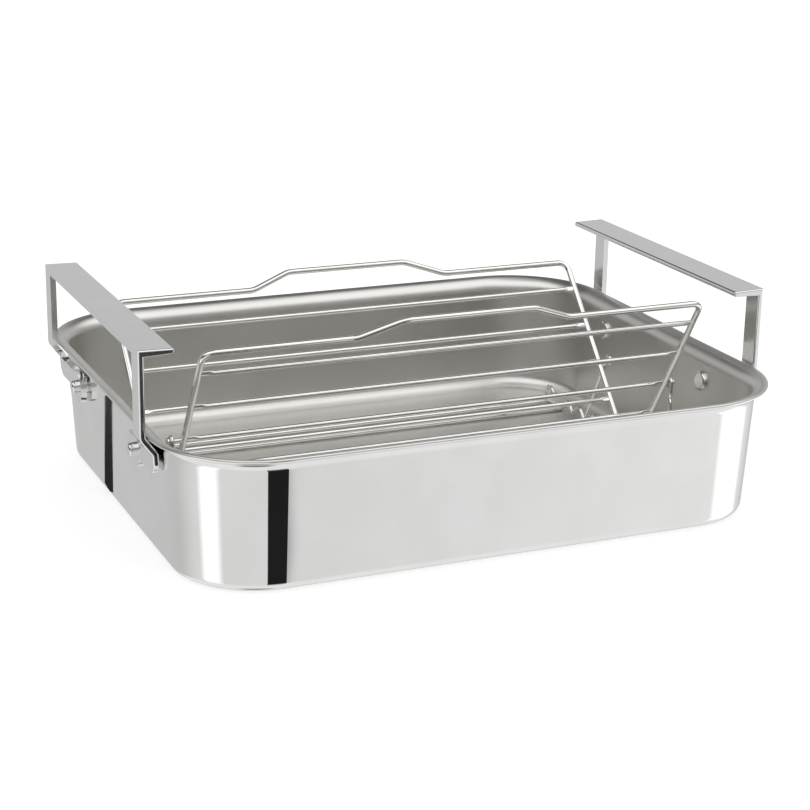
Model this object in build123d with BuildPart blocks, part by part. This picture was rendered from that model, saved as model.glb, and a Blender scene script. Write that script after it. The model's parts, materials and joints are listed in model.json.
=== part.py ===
from build123d import *
from math import acos, asin, atan2, cos, degrees, hypot, radians, sin, sqrt, tan
import os

os.makedirs("parts", exist_ok=True)
pieces = {}

# Shared sizes in millimetres: +X along the pan, +Y to the rear, +Z up
overrun = 5.0
seat_gap = 0.3
weld_bite = 0.2
running_gap = 0.05
half_turn = 180.0
quarter_turn = 90.0

# Pan
base_length = 385.2
base_depth = 317.6
base_corner = 53.2
sheet = 2.5
wall_draft = 3.3
rim_height = 85.9
flare_radius = 7.5
lip_slope = 5.0
outer_bend = 6.0
inner_bend = 9.0
floor_inset = 11.5

# Handles
handle_shift = 3.5
handle_length = 218.5
handle_offset = 13.4
handle_top = 137.6
strap_thickness = 3.8
strap_width = 13.5
joggle_low = 74.6
joggle_high = 84.6
joggle_bend = 3.2
foot_bottom = 60.5
foot_corner = 8.0
crotch_radius = 6.0
foot_eye_radius = 11.5
grip_width = 22.0
grip_outer_thickness = 4.6
grip_inner_thickness = 3.4
grip_fall = 0.5
grip_round = 1.5
grip_shoulder = 3.0
grip_crook = 2.4
handle_edge = 1.0

# Rivets and the spacers behind the handle feet
rivet_pitch = 134.0
rivet_height = 64.5
shank_radius = 3.0
shank_gap = 0.05
spacer_thickness = 1.6
spacer_radius = 6.2
head_radius = 4.2
head_height = 3.8
head_round = 1.7
button_radius = 6.6
button_height = 2.3
button_round = 1.7

# Rack: place of its hinge line in the pan and the three wire sizes
rack_offset = 6.6
hinge_offset = 31.4
frame_radius = 2.0
rod_radius = 1.5
wing_rod_radius = 1.7
prop_radius = 1.25
wing_inset = 25.6

# Wings: places along the wing are counted from the hinge line
rod_first = 39.9
rod_pitch = 29.2
rod_total = 4
front_rise = 17.7
rear_rise = 21.5
hump_rise = 11.5
hump_base_half = 70.5
hump_top_half = 43.0
hump_bend = 16.0
frame_corner = 7.0
eye_lead = 4.0
eye_turn = 268.0
tab_length = 4.5
tab_blend = 3.0
tab_wide = 2.3
tab_thin = 1.05

# Base of the rack
scroll_radius = 5.4
scroll_turn = 320.0
notch_first = 40.0
notch_pitch = 18.0
notch_tail = 8.0
notch_rise = 9.0
notch_bend = 3.2
bump_run = 12.0
rear_wire_inset = 59.2
front_wire_inset = 41.4

# Props that hold the wings up
prop_reach = 59.45
prop_rod = 1
front_notch = 0
rear_notch = 2
kink_start = 7.0
kink_run = 3.4
kink_depth = 1.7
kink_bend = 2.0
prop_turn = 265.0
prop_tip_round = 1.0
foot_gap = 0.95
pin_head_radius = 2.5
pin_head = 1.0

# Values that follow from the sizes above
draft = radians(wall_draft)
slope = tan(draft)
lip = radians(lip_slope)
floor_wire_z = sheet + seat_gap + rod_radius
frame_eye = rod_radius + running_gap + frame_radius
prop_eye = rod_radius + running_gap + prop_radius
hinge_z = sheet + seat_gap + frame_eye + frame_radius
wing_half = base_length / 2 - wing_inset
wing_step = frame_radius + seat_gap / 2
end_wire_half = wing_half + wing_step + frame_radius + seat_gap + rod_radius
last_rod = rod_first + rod_pitch * (rod_total - 1)
rack_shift = -rack_offset
hinge_y = -hinge_offset
rear_wire_reach = base_depth / 2 + hinge_offset - rear_wire_inset
front_wire_reach = base_depth / 2 - hinge_offset - front_wire_inset
rear_notches = 1 + int((rear_wire_reach - notch_first - notch_tail) / notch_pitch)
front_notches = 1 + int((front_wire_reach - notch_first - notch_tail) / notch_pitch)
inner_wire_reach = notch_first + notch_pitch * (rear_notches - 1)
pivot_reach = rod_first + rod_pitch * prop_rod
foot_end_z = handle_top - grip_outer_thickness
handle_face = base_length / 2 + handle_offset


# Pan: one bent section for the walls and corners, round a flat floor
half_length = base_length / 2
half_depth = base_depth / 2
flare_start = rim_height - (flare_radius + sheet) * cos(lip) + flare_radius * sin(draft)
flare_x = flare_start * slope + flare_radius * cos(draft)
flare_z = flare_start - flare_radius * sin(draft)
flare_turn = quarter_turn - wall_draft - lip_slope
inner_foot = sheet * slope - sheet / cos(draft)
lip_middle = flare_radius + sheet / 2
lip_tip = (
    flare_x - lip_middle * sin(lip) + sheet / 2 * cos(lip),
    flare_z + lip_middle * cos(lip) + sheet / 2 * sin(lip),
)


def wall_plane(side, y):
    """Plane on the outside of a short wall at rivet height, facing outwards."""
    x = side * (half_length + rivet_height * slope)
    return Plane(origin=(x, y, rivet_height), x_dir=(0, 1, 0), z_dir=(side * cos(draft), 0, -sin(draft)))


rivet_rows = (handle_shift - rivet_pitch / 2, handle_shift + rivet_pitch / 2)


def wall_section(plane):
    """The bent sheet in section: x points out of the pan from its foot, and y up."""
    with BuildSketch(plane) as section:
        with BuildLine():
            under = CenterArc((flare_x, flare_z), flare_radius, half_turn - wall_draft, -flare_turn)
            over = CenterArc((flare_x, flare_z), flare_radius + sheet, quarter_turn + lip_slope, flare_turn)
            ThreePointArc(under @ 1, lip_tip, over @ 0)
            FilletPolyline(over @ 1, (inner_foot, sheet), (-floor_inset, sheet), radius=inner_bend)
            Line((-floor_inset, sheet), (-floor_inset, 0))
            FilletPolyline((-floor_inset, 0), (0, 0), under @ 0, radius=outer_bend)
        make_face()
    return section.sketch


# The drawn sheet is one piece, modelled as straight walls, round corners and a floor
straight_length = half_length - base_corner
straight_depth = half_depth - base_corner

for word, x, y in (("right", 1, 0), ("rear", 0, 1), ("left", -1, 0), ("front", 0, -1)):
    foot = (x * half_length, y * half_depth, 0)
    with BuildPart() as pan_wall:
        section = wall_section(Plane(origin=foot, x_dir=(x, y, 0), z_dir=(y, -x, 0)))
        extrude(section, amount=straight_depth if x else straight_length, both=True)
        if x:
            for row in rivet_rows:
                with BuildSketch(wall_plane(x, row)):
                    Circle(shank_radius + shank_gap)
                extrude(amount=sheet + overrun, both=True, mode=Mode.SUBTRACT)
    pieces["pan_wall_" + word] = pan_wall.part

for word, x, y in (
    ("rear_right", 1, 1), ("rear_left", -1, 1), ("front_left", -1, -1), ("front_right", 1, -1)
):
    foot = (x * half_length, y * straight_depth, 0)
    middle = (x * straight_length, y * straight_depth, 0)
    with BuildPart() as pan_corner:
        section = wall_section(Plane(origin=foot, x_dir=(x, 0, 0), z_dir=(0, -x, 0)))
        revolve(section, axis=Axis(middle, (0, 0, x * y)), revolution_arc=quarter_turn)
    pieces["pan_corner_" + word] = pan_corner.part

with BuildPart() as pan_floor:
    with BuildSketch():
        RectangleRounded(
            base_length - floor_inset * 2, base_depth - floor_inset * 2, base_corner - floor_inset
        )
    extrude(amount=sheet)
pieces["pan_floor"] = pan_floor.part


# Handles: one bent strap whose feet turn in under the rim, with a wing-shaped grip
def foot_line(z):
    """Distance from the middle of the pan to the back of a handle foot."""
    return half_length + z * slope + spacer_thickness / cos(draft)


half_handle = handle_length / 2
eye_row = rivet_pitch / 2
grip_outer = handle_face + strap_thickness
grip_inner = grip_outer - grip_width
foot_low = rivet_height - foot_eye_radius - overrun
foot_top = rivet_height + foot_eye_radius

cross_plane = Plane.XZ.offset(-handle_shift)
side_plane = Plane(origin=(0, handle_shift, 0), x_dir=(0, 1, 0), z_dir=(1, 0, 0))

with BuildPart() as handle_right:
    with BuildSketch(cross_plane):
        with BuildLine():
            strap_back = FilletPolyline(
                (foot_line(foot_low), foot_low),
                (foot_line(joggle_low), joggle_low),
                (handle_face, joggle_high),
                (handle_face, foot_end_z),
                radius=joggle_bend,
            )
            offset(strap_back, amount=strap_thickness, side=Side.RIGHT)
        make_face()
    extrude(amount=half_handle, both=True)
    with BuildSketch(side_plane) as feet:
        with Locations((half_handle - strap_width, foot_bottom)):
            Rectangle(strap_width, handle_top - foot_bottom, align=(Align.MIN, Align.MIN))
        with Locations((eye_row, foot_bottom)):
            Rectangle(half_handle - eye_row, foot_top - foot_bottom, align=(Align.MIN, Align.MIN))
        with Locations((eye_row, rivet_height)):
            Circle(foot_eye_radius)
        crotch = feet.vertices().sort_by_distance((half_handle - strap_width, foot_top))[0]
        fillet(crotch, radius=crotch_radius)
        heel = feet.vertices().sort_by_distance((half_handle, foot_bottom))[0]
        fillet(heel, radius=foot_corner)
        mirror(about=Plane.YZ)
    extrude(amount=grip_outer + overrun, mode=Mode.INTERSECT)
    with BuildSketch(cross_plane) as grip:
        with BuildLine():
            Polyline(
                (grip_outer, foot_end_z),
                (grip_outer, handle_top),
                (grip_inner, handle_top - grip_fall),
                (grip_inner, handle_top - grip_fall - grip_inner_thickness),
                (handle_face, foot_end_z),
                close=True,
            )
        make_face()
        levels = grip.vertices().group_by(Axis.Y)
        fillet(levels[1:-1], radius=grip_round)
        fillet(levels[-1], radius=grip_shoulder)
    extrude(amount=half_handle, both=True)
    crook_point = (handle_face, handle_shift, foot_end_z)
    across = handle_right.edges().filter_by(Axis.Y).filter_by(lambda edge: edge.length < half_handle)
    fillet(across.sort_by_distance(crook_point)[:2], radius=grip_crook)
    end_faces = handle_right.faces().filter_by(Axis.Y).group_by(Axis.Y)
    fillet(end_faces[0].edges() + end_faces[-1].edges(), radius=handle_edge)
    for row in rivet_rows:
        with BuildSketch(wall_plane(1, row)):
            Circle(shank_radius + shank_gap)
        extrude(amount=spacer_thickness + strap_thickness + overrun, mode=Mode.SUBTRACT)
pieces["handle_right"] = handle_right.part

with BuildPart() as handle_left:
    add(handle_right.part.mirror(Plane.YZ))
pieces["handle_left"] = handle_left.part


# Rivets and spacers: two of each to a handle
def rivet_pair(side):
    """Two rivets, each with a flat button inside the pan and a round head outside."""

    def outer_rim(wall, height, radius):
        """The round edge of the given radius nearest to that height over the wall."""
        rings = pair.edges().filter_by(GeomType.CIRCLE).filter_by(
            lambda ring: abs(ring.radius - radius) < running_gap
        )
        return rings.sort_by_distance(wall.from_local_coords((0, 0, height)))[0]

    with BuildPart() as pair:
        for row in rivet_rows:
            wall = wall_plane(side, row)
            with BuildSketch(wall.offset(-sheet)):
                Circle(button_radius)
            extrude(amount=-button_height)
            fillet(outer_rim(wall, -sheet - button_height, button_radius), radius=button_round)
            with BuildSketch(wall.offset(-sheet)):
                Circle(shank_radius)
            extrude(amount=sheet + spacer_thickness + strap_thickness)
            with BuildSketch(wall.offset(spacer_thickness + strap_thickness)):
                Circle(head_radius)
            extrude(amount=head_height)
            head_end = spacer_thickness + strap_thickness + head_height
            fillet(outer_rim(wall, head_end, head_radius), radius=head_round)
    return pair.part


def spacer_pair(side):
    """Two rings that hold the handle feet off the wall."""
    with BuildPart() as pair:
        for row in rivet_rows:
            with BuildSketch(wall_plane(side, row)):
                Circle(spacer_radius)
                Circle(shank_radius + shank_gap, mode=Mode.SUBTRACT)
            extrude(amount=spacer_thickness)
    return pair.part


for side, word in ((-1, "left"), (1, "right")):
    pieces["rivets_" + word] = rivet_pair(side)
    pieces["spacers_" + word] = spacer_pair(side)


# Rack base: straight wires on the floor and a notched wire at each end
def straight_wire(y, z, half, radius):
    """A round wire along the pan."""
    with BuildPart() as wire:
        with BuildSketch(Plane(origin=(rack_shift - half, y, z), z_dir=(1, 0, 0))):
            Circle(radius)
        extrude(amount=half * 2)
    return wire.part


floor_wire_half = end_wire_half - rod_radius + weld_bite
floor_wires = {
    "rack_rear_wire": rear_wire_reach,
    "rack_inner_wire": inner_wire_reach,
    "rack_front_wire": -front_wire_reach,
}
for name, reach in floor_wires.items():
    pieces[name] = straight_wire(hinge_y + reach, floor_wire_z, floor_wire_half, rod_radius)
hinge_wire_half = end_wire_half + rod_radius
pieces["rack_hinge_wire"] = straight_wire(hinge_y, hinge_z, hinge_wire_half, rod_radius)


def notch_path(wire_reach, notches):
    """Half of a notched wire, from its scroll to the hinge, as (reach, height) points."""
    points = [(wire_reach, floor_wire_z)]
    for notch in reversed(range(notches)):
        low = notch_first + notch_pitch * notch
        points.append((low, floor_wire_z))
        if notch:
            points.append((low - notch_pitch / 2, floor_wire_z + notch_rise))
    points.append((bump_run, floor_wire_z))
    return points


def end_wire(side):
    """The notched wire across one end of the rack, curled into a scroll at both tips."""
    middle = (0, hinge_z - rod_radius * 2 + weld_bite / 2)
    rear = notch_path(rear_wire_reach, rear_notches)
    front_half_path = notch_path(front_wire_reach, front_notches)
    front = [(-reach, height) for reach, height in reversed(front_half_path)]
    plane = Plane(
        origin=(rack_shift + side * end_wire_half, hinge_y, 0), x_dir=(0, 1, 0), z_dir=(1, 0, 0)
    )
    scroll_z = floor_wire_z + scroll_radius
    with BuildPart() as wire:
        with BuildLine(plane) as path:
            CenterArc((rear_wire_reach, scroll_z), scroll_radius, half_turn, -scroll_turn)
            FilletPolyline(*rear, middle, *front, radius=notch_bend)
            CenterArc((-front_wire_reach, scroll_z), scroll_radius, -quarter_turn, -scroll_turn)
        track = path.wires()[0]
        with BuildSketch(Plane(origin=track @ 0, z_dir=track % 0)):
            Circle(rod_radius)
        sweep(path=track)
    return wire.part


for side, word in ((-1, "left"), (1, "right")):
    pieces["rack_end_wire_" + word] = end_wire(side)

# Wing angles: each is fixed by the notch that the foot of its prop stands in
notch_angle = atan2(notch_rise, notch_pitch / 2)
notch_floor = floor_wire_z + notch_bend * (1 / cos(notch_angle) - 1)
foot_z = notch_floor + rod_radius + foot_gap


def wing_angle(notch):
    """Angle of a wing above the floor with its prop in the given notch."""
    run = notch_first + notch_pitch * notch
    reach = hypot(run, foot_z - hinge_z)
    corner = (pivot_reach**2 + reach**2 - prop_reach**2) / (2 * pivot_reach * reach)
    return atan2(foot_z - hinge_z, run) + acos(corner)


def wing_plane(way, angle):
    """Plane of a wing: its x runs along the pan and its y up the wing."""
    return Plane(
        origin=(rack_shift - way * wing_step, hinge_y, hinge_z),
        x_dir=(1, 0, 0),
        z_dir=(0, -sin(angle), way * cos(angle)),
    )


def wing_frame(plane, reach):
    """The bent frame of a wing, from one hinge eye over the raised grip to the other."""
    lead = sqrt(frame_eye**2 + 2 * frame_eye * eye_lead)
    touch = frame_eye / (frame_eye + eye_lead)
    start_angle = atan2(lead, eye_lead)

    def at(x, along, out):
        return plane.from_local_coords((x, along, out))

    def eye(x):
        """Lead-in curve and eye of one end, as two arcs."""
        bend = start_angle / 2
        lead_middle = at(x, lead - eye_lead * sin(bend), eye_lead - eye_lead * cos(bend))
        meeting = at(x, lead * touch, eye_lead * touch)
        half_way = start_angle - radians(eye_turn) / 2
        finish = start_angle - radians(eye_turn)
        ring_middle = at(x, frame_eye * sin(half_way), frame_eye * cos(half_way))
        ring_end = at(x, frame_eye * sin(finish), frame_eye * cos(finish))
        ThreePointArc(ring_end, ring_middle, meeting)
        ThreePointArc(meeting, lead_middle, at(x, lead, 0))

    with BuildPart() as frame:
        with BuildLine() as path:
            eye(-wing_half)
            corners = [
                (wing_half, lead, 0),
                (wing_half, reach, frame_corner),
                (hump_base_half, reach, hump_bend),
                (hump_top_half, reach + hump_rise, hump_bend),
            ]
            left = [at(-x, along, 0) for x, along, _ in corners]
            right = [at(x, along, 0) for x, along, _ in reversed(corners)]
            bends = [bend for _, _, bend in corners[1:]]
            FilletPolyline(*left, *right, radius=[*bends, *reversed(bends)])
            eye(wing_half)
        track = path.wires()[0]
        with BuildSketch(Plane(origin=track @ 0, z_dir=track % 0)):
            Circle(frame_radius)
        sweep(path=track)
        for side in (-1, 1):
            pin_root = Plane(
                origin=at(side * wing_half, pivot_reach, 0), x_dir=(0, 1, 0), z_dir=(side, 0, 0)
            )
            frame_to_prop = side * (rack_shift - plane.origin.X) + end_wire_half - wing_half
            pin_length = frame_to_prop + prop_radius + seat_gap
            with BuildSketch(pin_root):
                Circle(rod_radius)
            extrude(amount=pin_length)
            with BuildSketch(pin_root.offset(pin_length)):
                Circle(pin_head_radius)
            extrude(amount=pin_head)
    return frame.part


def wing_rod(plane, along):
    """A rod of a wing with both ends pressed flat against the frame."""
    half = wing_half - frame_radius + weld_bite
    round_half = half - tab_length - tab_blend
    with BuildPart() as rod:
        for side in (-1, 1):
            middle = Plane(
                origin=plane.from_local_coords((0, along, 0)), x_dir=plane.y_dir, z_dir=(side, 0, 0)
            )
            with BuildSketch(middle):
                Circle(wing_rod_radius)
            extrude(amount=round_half)
            with BuildSketch(middle.offset(round_half)):
                Circle(wing_rod_radius)
            with BuildSketch(middle.offset(half - tab_length)):
                Ellipse(tab_wide, tab_thin)
            loft()
            with BuildSketch(middle.offset(half - tab_length)):
                Ellipse(tab_wide, tab_thin)
            extrude(amount=tab_length)
    return rod.part


def wing_prop(plane, way, notch, side):
    """A prop: an eye on the wing's pin, a kinked leg and a foot in a notch."""
    pivot = plane.from_local_coords((0, pivot_reach, 0))
    foot_y = hinge_y + way * (notch_first + notch_pitch * notch)
    run = way * (foot_y - pivot.Y)
    drop = foot_z - pivot.Z
    lean = atan2(run, -drop) - asin(prop_eye / prop_reach)
    leg = sqrt(prop_reach**2 - prop_eye**2)
    origin = (rack_shift + side * end_wire_half, pivot.Y, pivot.Z)
    down = (0, way * sin(lean), -cos(lean))
    outward = (0, way * cos(lean), sin(lean))
    prop_plane = Plane(origin=origin, x_dir=down, z_dir=Vector(*down).cross(Vector(*outward)))
    with BuildPart() as prop:
        with BuildLine(prop_plane) as path:
            ring = CenterArc((0, 0), prop_eye, quarter_turn + prop_turn, -prop_turn)
            FilletPolyline(
                ring @ 1,
                (kink_start, prop_eye),
                (kink_start + kink_run, prop_eye - kink_depth),
                (kink_start + kink_run * 2, prop_eye),
                (leg, prop_eye),
                radius=kink_bend,
            )
        track = path.wires()[0]
        with BuildSketch(Plane(origin=track @ 0, z_dir=track % 0)):
            Circle(prop_radius)
        sweep(path=track)
        tip = prop.edges().filter_by(GeomType.CIRCLE).sort_by_distance(track @ 1)[0]
        fillet(tip, radius=prop_tip_round)
    return prop.part


for word, way, notch, rise in (
    ("front", -1, front_notch, front_rise),
    ("rear", 1, rear_notch, rear_rise),
):
    angle = wing_angle(notch)
    plane = wing_plane(way, angle)
    print(word, "wing angle", round(degrees(angle), 2), "hinge", hinge_y, round(hinge_z, 2))
    pieces[word + "_frame"] = wing_frame(plane, last_rod + rise)
    for number in range(rod_total):
        rod = wing_rod(plane, rod_first + rod_pitch * number)
        pieces[word + "_rod_" + str(number + 1)] = rod
    for side, hand in ((-1, "left"), (1, "right")):
        pieces[word + "_prop_" + hand] = wing_prop(plane, way, notch, side)

for name, piece in pieces.items():
    piece.label = name
    export_step(piece, "parts/" + name + ".step")
    print(name, len(piece.solids()), round(piece.volume, 1), piece.bounding_box())
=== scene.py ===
# %% [markdown]
# # A steel roasting pan with a folding rack
# The real object is a drawn stainless steel pan with two riveted handles and a loose
# rack of bent wire. Its shape comes ready from the packed frame, so this lesson is about
# steel: how a bright outside, a satin inside and round wires each read under studio light.

# %% Load the packed model
import json
import math

import bmesh
import bpy
from mathutils import Matrix, Vector

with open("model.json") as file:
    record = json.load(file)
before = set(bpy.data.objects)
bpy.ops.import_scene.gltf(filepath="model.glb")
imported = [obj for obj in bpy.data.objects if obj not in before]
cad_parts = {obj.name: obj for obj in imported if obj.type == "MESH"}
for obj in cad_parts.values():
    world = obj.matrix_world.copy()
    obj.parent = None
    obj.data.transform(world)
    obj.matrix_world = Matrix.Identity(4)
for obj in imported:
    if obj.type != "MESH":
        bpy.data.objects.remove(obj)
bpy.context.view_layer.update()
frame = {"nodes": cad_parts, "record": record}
nodes = frame["nodes"]

# %% [markdown]
# ## The camera
# The photograph was taken from the front, a little to the left and a little above. A long
# lens keeps the pan's edges nearly parallel. The camera could be aimed with a constraint,
# but three angles and a distance say plainly where it stands, so they are used here.

# %% Camera
LENS_MM = 88.47
SENSOR_MM = 36.0
CAMERA_TURN = math.radians(-23.81)
CAMERA_RISE = math.radians(17.90)
CAMERA_ROLL = math.radians(1.06)
CAMERA_REACH = 1.33014
CAMERA_SIDE = 0.00321
CAMERA_LIFT = -0.00015
AIM_HEIGHT = 0.05


def camera_matrix():
    """Where the camera stands and how it is turned."""
    back = Vector((
        math.sin(CAMERA_TURN) * math.cos(CAMERA_RISE),
        -math.cos(CAMERA_TURN) * math.cos(CAMERA_RISE),
        math.sin(CAMERA_RISE),
    ))
    right = (-back).cross(Vector((0, 0, 1))).normalized()
    up = right.cross(-back)
    place = back * CAMERA_REACH + right * CAMERA_SIDE + up * CAMERA_LIFT
    place.z += AIM_HEIGHT
    level = Matrix((right, up, back)).transposed().to_4x4()
    return Matrix.Translation(place) @ level @ Matrix.Rotation(CAMERA_ROLL, 4, "Z")


camera_data = bpy.data.cameras.new("camera")
camera_data.lens = LENS_MM
camera_data.sensor_width = SENSOR_MM
camera = bpy.data.objects.new("camera", camera_data)
bpy.context.scene.collection.objects.link(camera)
camera.matrix_world = camera_matrix()
bpy.context.scene.camera = camera
bpy.context.scene.view_settings.view_transform = "Standard"
print("camera at", [round(v, 3) for v in camera.matrix_world.translation])

# %% [markdown]
# ## Writing shader maths as Python
# A material's maths could be wired by hand, node by node. One small class that wraps a
# socket lets an expression such as `height * 2 + noise` add its own Math nodes, which
# keeps each finish short enough to read. Its method `node` makes every other node.

# %% A socket that can be added, multiplied and compared


class Wire:
    """One output socket of a node tree, with the operators that this scene uses."""

    def __init__(self, tree, socket):
        self.tree = tree
        self.socket = socket

    @staticmethod
    def node(tree, kind, sockets=None, out=0, **settings):
        """Adds a node, sets its settings and then its sockets, and wraps one output."""
        made = tree.nodes.new(kind)
        for name, value in settings.items():
            setattr(made, name, value)
        for name, value in (sockets or {}).items():
            if isinstance(value, Wire):
                tree.links.new(value.socket, made.inputs[name])
            else:
                made.inputs[name].default_value = value
        return Wire(tree, made.outputs[out]) if len(made.outputs) else None

    @staticmethod
    def axes(tree, space):
        """The x, y and z of the point or direction that is shaded, in that space."""
        place = Wire.node(tree, "ShaderNodeTexCoord", out=space)
        split = Wire.node(tree, "ShaderNodeSeparateXYZ", {"Vector": place}).socket.node
        return [Wire(tree, split.outputs[axis]) for axis in "XYZ"]

    def math(self, operation, *others):
        values = dict(enumerate((self, *others)))
        return Wire.node(self.tree, "ShaderNodeMath", values, operation=operation)

    def __add__(self, other):
        return self.math("ADD", other)

    def __mul__(self, other):
        return self.math("MULTIPLY", other)

    def __sub__(self, other):
        return self.math("SUBTRACT", other)

    def __rsub__(self, other):
        return self * -1.0 + other

    def __neg__(self):
        return self * -1.0

    def size(self):
        return self.math("ABSOLUTE")

    def above(self, low):
        """The value, or low where it is less."""
        return self.math("MAXIMUM", low)

    def below(self, high):
        """The value, or high where it is more."""
        return self.math("MINIMUM", high)

    def step(self, low, high):
        """A soft step from nought at low to one at high."""
        values = {"Value": self, "From Min": low, "From Max": high}
        kind = "ShaderNodeMapRange"
        return Wire.node(self.tree, kind, values, interpolation_type="SMOOTHSTEP")

    def band(self, low, high, soft):
        """One between low and high, with soft edges of that width."""
        return self.step(low - soft, low + soft) * (1.0 - self.step(high - soft, high + soft))

    def between(self, low, high):
        """low where this mask is nought, high where it is one."""
        return self * (high - low) + low

    def colour(self, low, high):
        """A colour between two, by this mask. Sockets 6 and 7 of the node are its colours."""
        values = {0: self, 6: (*low, 1.0), 7: (*high, 1.0)}
        return Wire.node(self.tree, "ShaderNodeMix", values, out=2, data_type="RGBA")


def new_material(name):
    """An empty material and its node tree."""
    made = bpy.data.materials.new(name)
    made.use_nodes = True
    made.node_tree.nodes.clear()
    return made, made.node_tree


def close_material(tree, shader):
    Wire.node(tree, "ShaderNodeOutputMaterial", {"Surface": shader})


print("operators", [name for name in vars(Wire) if name.startswith("__")])

# %% [markdown]
# ## The studio around the steel
# Polished steel has hardly a colour of its own: it shows the room. The pan was pictured on
# a white table with a bright light overhead and dark gaps between the white screens.
# Screens could be modelled one by one, but a room painted on the world is simpler, and it
# stays where it is when the camera walks round the pan.

# %% How bright each part of the room is, as a share of white
ROOM_LEVEL = 1.0
TABLE_NEAR = 1.00
TABLE_RIGHT = 1.15
STRIP_LIGHT = 1.60
CORNER_GAP = 0.02
UNDERFOOT = 1.15
CONTACT = 0.30
BEHIND_LOW = 0.75
BEHIND_HIGH = 0.76
BEHIND_GAP = 0.12
OVERHEAD = 1.70
CEILING = 0.60
CAMERA_SCREEN = 0.50
LEFT_SHADE = 0.20

# %% Where each part lies
# Turns are degrees to the right of the pan's front, and lifts are degrees above level.
# A fade runs from nought at its first value to one at its second. A band is one between
# its first two values, and its third is the width of its soft edges.
DEGREES = 180.0 / math.pi
BACK_FADE = (95.0, 135.0)
HORIZON_FADE = (-14.0, -4.0)
TABLE_FADE = (20.0, 38.0)
LEFT_STRIP = (-92.0, -66.0, 5.0)
RIGHT_STRIP = (52.0, 100.0, 6.0)
CORNER_BAND = (-4.5, 21.2, 0.5)
UNDERFOOT_FADE = (-34.0, -46.0)
CONTACT_FADE = (-76.0, -84.0)
BEHIND_BAND = (27.0, 70.0, 3.0)
SHADE_BAND = (-130.0, -50.0, 15.0)
OVERHEAD_FADE = (20.0, 34.0)
CEILING_FADE = (70.0, 78.0)

# %% World
world = bpy.data.worlds.new("studio")
bpy.context.scene.world = world
world.use_nodes = True
tree = world.node_tree
tree.nodes.clear()
east, north, rise = Wire.axes(tree, "Generated")
turn = east.math("ARCTAN2", -north) * DEGREES
lift = rise.math("ARCSINE") * DEGREES

front = 1.0 - turn.size().step(*BACK_FADE)
low_down = 1.0 - lift.step(*HORIZON_FADE)
table = turn.step(*TABLE_FADE).between(TABLE_NEAR, TABLE_RIGHT)
strips = turn.band(*LEFT_STRIP) + turn.band(*RIGHT_STRIP)
table = table + strips * (STRIP_LIGHT - TABLE_NEAR)
table = table * turn.band(*CORNER_BAND).between(1.0, CORNER_GAP)
table = front.between(BEHIND_LOW, table)
table = lift.step(*UNDERFOOT_FADE).between(table, UNDERFOOT)
table = lift.step(*CONTACT_FADE).between(table, CONTACT)
behind = lift.band(*BEHIND_BAND).between(BEHIND_HIGH, BEHIND_GAP)
screens = front.between(behind, CAMERA_SCREEN)
screens = screens * turn.band(*SHADE_BAND).between(1.0, LEFT_SHADE)
sky = (front * lift.step(*OVERHEAD_FADE)).between(screens, OVERHEAD)
sky = lift.step(*CEILING_FADE).between(sky, CEILING)
shown = low_down.between(sky, table)

rays = Wire.node(tree, "ShaderNodeLightPath", out="Is Glossy Ray")
background = Wire.node(
    tree, "ShaderNodeBackground", {"Strength": rays.between(ROOM_LEVEL, shown)},
)
Wire.node(tree, "ShaderNodeOutputWorld", {"Surface": background})
print("world nodes", len(tree.nodes))

# %% [markdown]
# ## The table
# The photograph's table is pure white. A plane lit by the room would come out a little
# grey, so its material adds a faint glow that only the camera sees. The pan's shadow still
# falls on it.

# %% Table
FLOOR_HALF = 6.0
FLOOR_COLOUR = 0.80
FLOOR_LIFT = 0.50


def flat_piece(name, shape):
    """Puts a bmesh in the scene as an object, and frees it."""
    mesh = bpy.data.meshes.new(name)
    shape.to_mesh(mesh)
    shape.free()
    made = bpy.data.objects.new(name, mesh)
    bpy.context.scene.collection.objects.link(made)
    return made


shape = bmesh.new()
bmesh.ops.create_grid(shape, x_segments=1, y_segments=1, size=FLOOR_HALF)
floor = flat_piece("floor", shape)
floor.visible_glossy = False

floor_paint, tree = new_material("table_white")
seen = Wire.node(tree, "ShaderNodeLightPath", out="Is Camera Ray")
close_material(tree, Wire.node(tree, "ShaderNodeBsdfPrincipled", {
    "Base Color": (FLOOR_COLOUR, FLOOR_COLOUR, FLOOR_COLOUR, 1.0),
    "Roughness": 1.0,
    "Emission Color": (1.0, 1.0, 1.0, 1.0),
    "Emission Strength": seen * FLOOR_LIFT,
}))
floor.data.materials.append(floor_paint)
print("floor half width", FLOOR_HALF, "m")

# %% [markdown]
# ## A dark line in the left wall
# In the photograph the left wall mirrors one thin black line that runs over the table, away
# from the pan's foot. A line painted on the wall would slide off when the pan is seen from
# elsewhere. A narrow black strip that only mirrors can see gives a true reflection.

# %% The strip
STRIP_START = Vector((-0.1935, 0.034, 0.0004))
STRIP_END = Vector((-0.2452, 0.2210, 0.0004))
STRIP_WIDE = 0.0056
STRIP_BLACK = (0.01, 0.01, 0.01, 1.0)
shape = bmesh.new()
run = STRIP_END - STRIP_START
side = run.cross(Vector((0, 0, 1))).normalized() * STRIP_WIDE / 2
corners = [shape.verts.new(end + way * side) for end, way in (
    (STRIP_START, -1), (STRIP_START, 1), (STRIP_END, 1), (STRIP_END, -1),
)]
shape.faces.new(corners)
strip = flat_piece("dark_strip", shape)
strip.visible_camera = strip.visible_diffuse = strip.visible_shadow = False
strip_paint, tree = new_material("strip_black")
close_material(tree, Wire.node(tree, "ShaderNodeBsdfPrincipled", {
    "Base Color": STRIP_BLACK, "Roughness": 0.9,
}))
strip.data.materials.append(strip_paint)
print("strip length", round(run.length, 3), "m")

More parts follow.
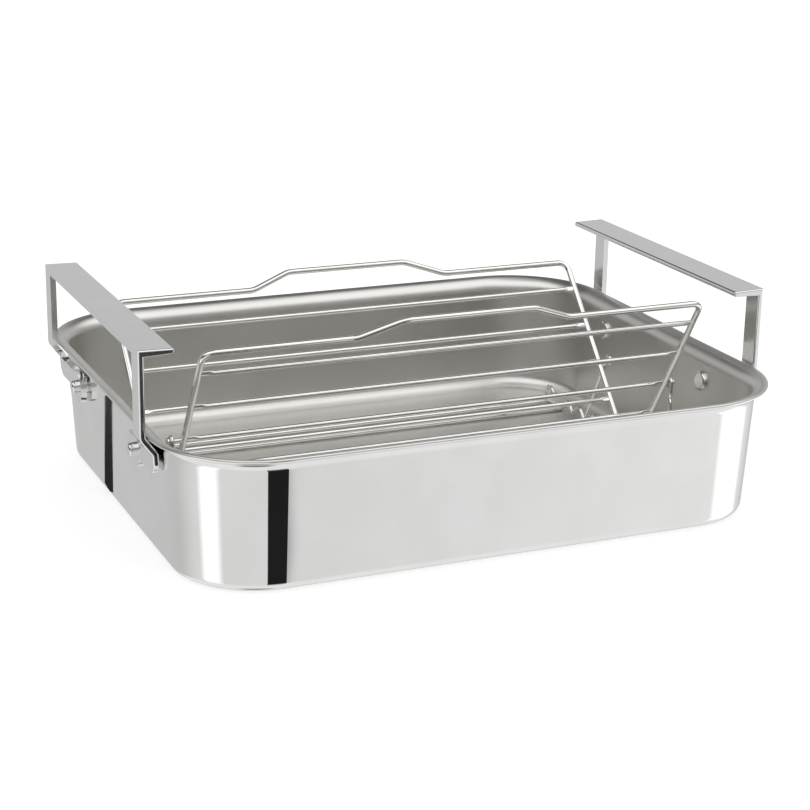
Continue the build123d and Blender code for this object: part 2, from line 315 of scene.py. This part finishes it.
# %% [markdown]
# ## Steel
# All the steel starts from one recipe: a metal whose roughness and tiny bumps change from
# place to place. Each finish could be a material of its own from scratch. A recipe with
# named values shows better how little there is between a mirror and a blasted surface.

# %% One recipe for steel
FINE = {"Detail": 3.0, "Roughness": 0.6}
BROAD = {"Detail": 2.0, "Roughness": 0.5}
SLOW = {"Detail": 1.0, "Roughness": 0.4}
NOISE_MIDDLE = 0.5
PATCH_FADE = (0.35, 0.70)
PATCH_SHARE = 0.5
LEAST_ROUGH = 0.02


def noise(tree, place, scale, kind):
    return Wire.node(tree, "ShaderNodeTexNoise", {"Vector": place, "Scale": scale, **kind})


def bump(tree, depth, height, **under):
    """A normal that is bumped to that depth in metres, over another bump if one is given."""
    values = {"Strength": 1.0, "Distance": depth, "Height": height, **under}
    return Wire.node(tree, "ShaderNodeBump", values)


def steel(tree, look):
    """Adds a steel to a tree: fine grain, larger patches and a slow wave in the sheet."""
    place = Wire.node(tree, "ShaderNodeTexCoord", out="Object")
    drawn = Wire.node(tree, "ShaderNodeMapping", {"Vector": place, "Scale": look["stretch"]})
    grain = noise(tree, drawn, look["grain"], FINE)
    patch = noise(tree, place, look["patches"], BROAD).step(*PATCH_FADE)
    wave = noise(tree, place, look["waves"], SLOW)
    uneven = (grain - NOISE_MIDDLE) + (patch - NOISE_MIDDLE) * PATCH_SHARE
    sheet_bump = bump(tree, look["wave_depth"], wave)
    return Wire.node(tree, "ShaderNodeBsdfPrincipled", {
        "Metallic": 1.0,
        "Base Color": patch.colour(look["worn"], look["colour"]),
        "Roughness": (uneven * look["change"] + look["rough"]).above(LEAST_ROUGH).below(1.0),
        "Normal": bump(tree, look["grain_depth"], grain, Normal=sheet_bump),
    })


# %% [markdown]
# ## The finishes
# The outside of the pan is polished on a wheel that runs round the walls, so its faint
# lines lie level. The inside is left satin. Handles and rivets are polished by hand, and
# the rack's wire is smoothed in an acid bath after it is bent and welded.

# %% Finishes: lengths in metres, and scales in cycles to the metre
bright_outside = {
    "colour": (0.83, 0.83, 0.825), "worn": (0.80, 0.80, 0.79), "rough": 0.03,
    "change": 0.015, "grain": 60.0, "grain_depth": 0.000002, "stretch": (1.0, 1.0, 30.0),
    "patches": 26.0, "waves": 9.0, "wave_depth": 0.0003,
}
satin_inside = {
    "colour": (0.72, 0.71, 0.685), "worn": (0.68, 0.67, 0.645), "rough": 0.33,
    "change": 0.08, "grain": 2600.0, "grain_depth": 0.00004, "stretch": (1.0, 1.0, 1.0),
    "patches": 14.0, "waves": 9.0, "wave_depth": 0.0002,
}
polished_handle = {
    "colour": (0.80, 0.80, 0.795), "worn": (0.77, 0.77, 0.765), "rough": 0.13,
    "change": 0.06, "grain": 500.0, "grain_depth": 0.000008, "stretch": (14.0, 1.0, 14.0),
    "patches": 40.0, "waves": 25.0, "wave_depth": 0.00012,
}
polished_rivet = {
    "colour": (0.76, 0.76, 0.75), "worn": (0.72, 0.72, 0.71), "rough": 0.14,
    "change": 0.06, "grain": 700.0, "grain_depth": 0.00001, "stretch": (1.0, 1.0, 1.0),
    "patches": 90.0, "waves": 60.0, "wave_depth": 0.0001,
}
smoothed_wire = {
    "colour": (0.82, 0.81, 0.79), "worn": (0.77, 0.76, 0.74), "rough": 0.06,
    "change": 0.04, "grain": 900.0, "grain_depth": 0.000006, "stretch": (0.2, 1.0, 1.0),
    "patches": 60.0, "waves": 40.0, "wave_depth": 0.00008,
}


def plain_steel(name, look):
    """A material that is one steel all over."""
    made, tree = new_material(name)
    close_material(tree, steel(tree, look))
    return made


finishes = {
    "handle_steel": plain_steel("handle_steel", polished_handle),
    "rivet_steel": plain_steel("rivet_steel", polished_rivet),
    "rack_wire": plain_steel("rack_wire", smoothed_wire),
}
print("one-sided finishes", sorted(finishes))

# %% [markdown]
# ## Bright outside, satin inside
# One sheet makes both faces of the pan, and the maker polishes only the outside. The pan
# could be cut in two pieces to take two finishes. A mask that asks on which side of the
# sheet's middle a point lies keeps it whole. Below the rim the middle is a straight drafted
# wall, and at the rim it rolls outwards round a circle. The walls, corners and floor are
# separate nodes of one sheet, so they all take this one material.

# %% Which side of the sheet a point lies on: the pan's own sizes, in metres
BASE_HALF_X, BASE_HALF_Y = 0.1926, 0.1588
BASE_CORNER = 0.0532
WALL_DRAFT = math.radians(3.3)
WALL_SLOPE = math.tan(WALL_DRAFT)
SHEET = 0.0025
ROLL_OUT, ROLL_UP = 0.01189, 0.07594
ROLL_MIDDLE = 0.00875
EDGE = 0.0003


def inside_mask(tree):
    """One on the inner face of the pan, its floor and its rim, nought on the outer face."""
    x, y, z = Wire.axes(tree, "Object")
    past_x = x.size() - (BASE_HALF_X - BASE_CORNER)
    past_y = y.size() - (BASE_HALF_Y - BASE_CORNER)
    side_x, side_y = past_x.above(0.0), past_y.above(0.0)
    round_corner = (side_x * side_x + side_y * side_y).math("SQRT")
    beyond = round_corner + past_x.math("MAXIMUM", past_y).below(0.0) - BASE_CORNER
    wall = 1.0 - (beyond - z * WALL_SLOPE).step(-SHEET / 2 - EDGE, -SHEET / 2 + EDGE)
    out, up = beyond - ROLL_OUT, z - ROLL_UP
    rolled = (out * out + up * up).math("SQRT").step(ROLL_MIDDLE - EDGE, ROLL_MIDDLE + EDGE)
    at_rim = z.step(ROLL_UP - EDGE, ROLL_UP + EDGE)
    return at_rim.between(wall, rolled) * z.step(SHEET / 2 - EDGE, SHEET / 2 + EDGE)


pan_steel, tree = new_material("pan_steel")
close_material(tree, Wire.node(tree, "ShaderNodeMixShader", {
    0: inside_mask(tree), 1: steel(tree, bright_outside), 2: steel(tree, satin_inside),
}))
finishes["pan_steel"] = pan_steel
print("pan material nodes", len(tree.nodes))

# %% Each node takes its finish
for part in frame["record"]["subparts"]:
    for place in nodes[part["node"]].material_slots:
        place.material = finishes[part["material_slot"]]
